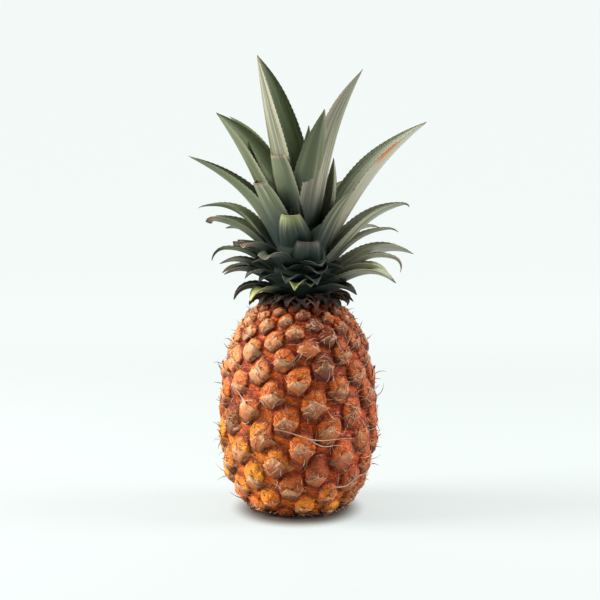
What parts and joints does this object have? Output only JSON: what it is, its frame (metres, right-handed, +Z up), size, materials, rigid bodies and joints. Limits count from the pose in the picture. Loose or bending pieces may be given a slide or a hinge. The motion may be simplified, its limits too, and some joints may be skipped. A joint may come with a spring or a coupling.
{
  "type": "pineapple",
  "caption": "Whole ripe pineapple standing on its base, with a knobbly eyed fruit body, a crown of stiff channelled leaves and a ring of dry leaves around the neck.",
  "frame": {"origin": "middle of the flat spot that the fruit stands on, on the fruit's axis", "axes": "+Z up along the fruit towards the crown, -Y towards the viewer of the front, +X to the viewer's right"},
  "size_m": [0.1692, 0.1175, 0.3181],
  "materials": {
    "fruit_skin": "matte, bumpy rind",
    "crown_leaf": "stiff waxy leaf, satin",
    "dry_leaf": "dry, dull"
  },
  "bodies": {
    "root": {"fruit": "fruit_skin", "crown": "crown_leaf", "neck_collar": "dry_leaf"}
  },
  "joints": []
}
